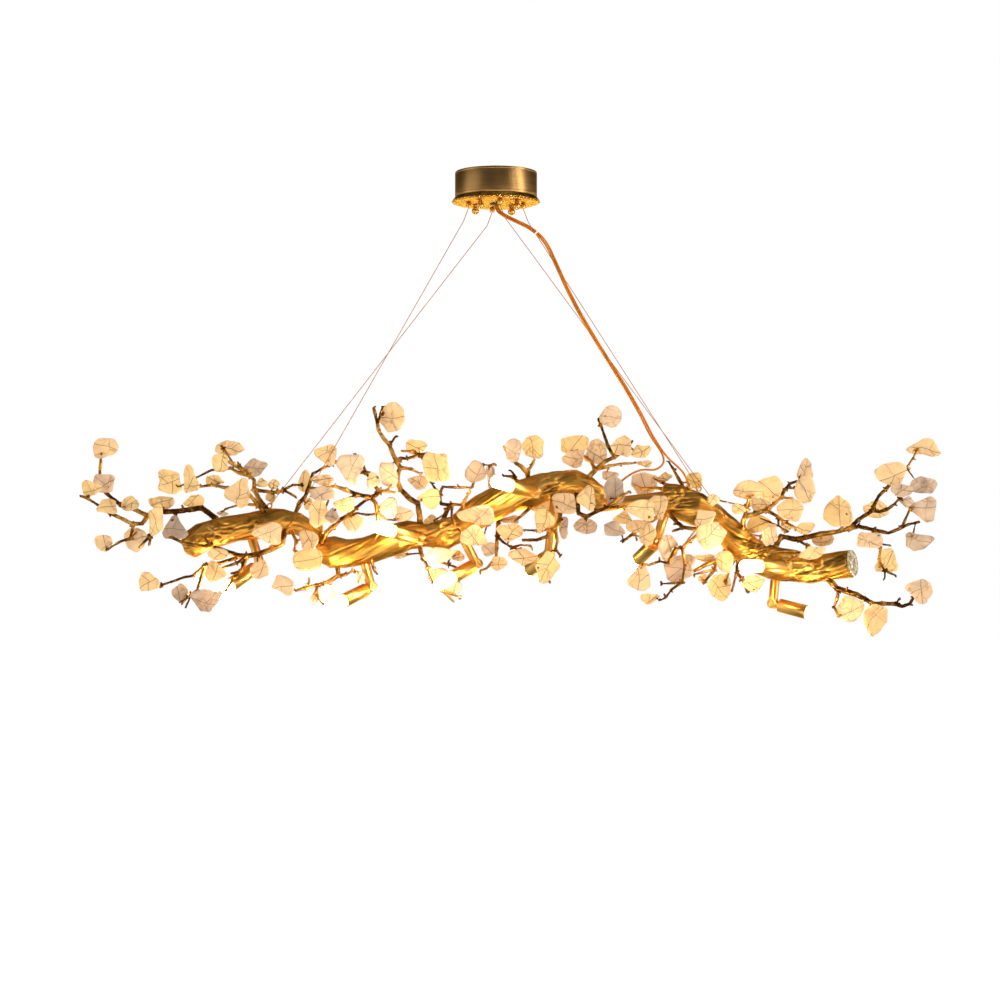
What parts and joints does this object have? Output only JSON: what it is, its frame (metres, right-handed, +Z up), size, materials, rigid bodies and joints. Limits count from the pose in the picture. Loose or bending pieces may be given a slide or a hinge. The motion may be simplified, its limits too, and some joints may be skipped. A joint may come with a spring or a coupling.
{
  "type": "branch chandelier",
  "caption": "Long gilt branch with twigs, crystal leaves and tilting lamp heads, hung from a round ceiling canopy by thin wires and amber supply cables.",
  "frame": {"origin": "on the ceiling, in the middle of the canopy and of its screw pattern", "axes": "+Z up into the ceiling, +X along the branch to the right as seen from in front, +Y to the back"},
  "size_m": [1.3757, 0.2075, 0.7416],
  "materials": {
    "zinc_steel": "zinc plated",
    "brushed_bronze": "brushed bronze",
    "hammered_gold": "hammered, polished",
    "gold": "polished gold",
    "cast_gold": "bark casting, polished gold lacquer",
    "sawn_silver": "rough sawn",
    "twig_bronze": "dark patinated bronze",
    "leaf_crystal": "frosted crystal with dark veins",
    "lit_glass": "opal, lit",
    "driver_case": "white painted",
    "white_plastic": "moulded",
    "black_rubber": "moulded",
    "wire_steel": "thin bronze coated wire",
    "amber_cord": "clear amber jacket"
  },
  "bodies": {
    "canopy": {"mounting_plate": "zinc_steel", "canopy_shell": "brushed_bronze", "hammered_plate": "hammered_gold", "plate_studs": "zinc_steel", "ball_nuts": "gold", "wire_grips": "gold", "led_driver": "driver_case", "terminal_block": "white_plastic", "cable_bush": "black_rubber", "suspension_wire_1": "wire_steel", "suspension_wire_2": "wire_steel", "suspension_wire_3": "wire_steel", "suspension_wire_4": "wire_steel", "supply_cable_1": "amber_cord", "supply_cable_2": "amber_cord"},
    "branch": {"trunk_left": "cast_gold", "trunk_middle_left": "cast_gold", "trunk_middle_right": "cast_gold", "trunk_right": "cast_gold", "trunk_spigots": "cast_gold", "trunk_end_cap": "sawn_silver", "wire_anchors": "gold", "wire_ferrules": "gold", "cable_glands": "gold", "lamp_rods": "gold", "pivot_screws": "gold", "twigs_left_tip": "twig_bronze", "twigs_left_low": "twig_bronze", "twigs_left_front": "twig_bronze", "twigs_middle_left": "twig_bronze", "twigs_middle_right": "twig_bronze", "twigs_right_low": "twig_bronze", "twigs_right_crown": "twig_bronze", "twigs_right_tip": "twig_bronze", "leaves_left_tip": "leaf_crystal", "leaves_left_low": "leaf_crystal", "leaves_left_front": "leaf_crystal", "leaves_middle_left": "leaf_crystal", "leaves_middle_right": "leaf_crystal", "leaves_right_low": "leaf_crystal", "leaves_right_crown": "leaf_crystal", "leaves_right_tip": "leaf_crystal"},
    "lamp_1": {"lamp_1_head": "gold", "lamp_1_bulb": "lit_glass"},
    "lamp_2": {"lamp_2_head": "gold", "lamp_2_bulb": "lit_glass"},
    "lamp_3": {"lamp_3_head": "gold", "lamp_3_bulb": "lit_glass"},
    "lamp_4": {"lamp_4_head": "gold", "lamp_4_bulb": "lit_glass"},
    "lamp_5": {"lamp_5_head": "gold", "lamp_5_bulb": "lit_glass"},
    "lamp_6": {"lamp_6_head": "gold", "lamp_6_bulb": "lit_glass"},
    "lamp_7": {"lamp_7_head": "gold", "lamp_7_bulb": "lit_glass"},
    "lamp_8": {"lamp_8_head": "gold", "lamp_8_bulb": "lit_glass"},
    "lamp_9": {"lamp_9_head": "gold", "lamp_9_bulb": "lit_glass"}
  },
  "joints": [
    {"name": "height_adjust", "type": "slide", "parent": "canopy", "child": "branch", "axis": [0, 0, 1], "range_m": [0, 0.15], "deforming": ["suspension_wire_1", "suspension_wire_2", "suspension_wire_3", "suspension_wire_4", "supply_cable_1", "supply_cable_2"]},
    {"name": "lamp_1_tilt", "type": "hinge", "parent": "branch", "child": "lamp_1", "pos_m": [-0.19967, -0.006, -0.66393], "axis": [0.6222, -0.7624, 0.1778], "range_deg": [-15, 45]},
    {"name": "lamp_2_tilt", "type": "hinge", "parent": "branch", "child": "lamp_2", "pos_m": [-0.03097, -0.004, -0.62699], "axis": [0.5838, -0.7302, 0.3549], "range_deg": [-14, 45]},
    {"name": "lamp_3_tilt", "type": "hinge", "parent": "branch", "child": "lamp_3", "pos_m": [0.06325, -0.042, -0.51425], "axis": [0.3096, -0.0749, 0.9479], "range_deg": [-15, 43]},
    {"name": "lamp_4_tilt", "type": "hinge", "parent": "branch", "child": "lamp_4", "pos_m": [-0.12051, -0.044, -0.58642], "axis": [0.3831, -0.1294, 0.9146], "range_deg": [-15, 45]},
    {"name": "lamp_5_tilt", "type": "hinge", "parent": "branch", "child": "lamp_5", "pos_m": [0.46025, -0.052, -0.63084], "axis": [0.0575, -0.0459, 0.9973], "range_deg": [-15, 45]},
    {"name": "lamp_6_tilt", "type": "hinge", "parent": "branch", "child": "lamp_6", "pos_m": [0.44202, -0.008, -0.68984], "axis": [0.4629, 0.8819, -0.0889], "range_deg": [-15, 45]},
    {"name": "lamp_7_tilt", "type": "hinge", "parent": "branch", "child": "lamp_7", "pos_m": [-0.37742, 0.004, -0.62701], "axis": [0.4502, -0.8852, 0.117], "range_deg": [-15, 45]},
    {"name": "lamp_8_tilt", "type": "hinge", "parent": "branch", "child": "lamp_8", "pos_m": [0.08433, 0.014, -0.61197], "axis": [-0.8405, -0.5405, 0.0373], "range_deg": [-15, 45]},
    {"name": "lamp_9_tilt", "type": "hinge", "parent": "branch", "child": "lamp_9", "pos_m": [0.25771, 0.01, -0.58992], "axis": [-0.8923, -0.3908, 0.2259], "range_deg": [-15, 45]}
  ]
}
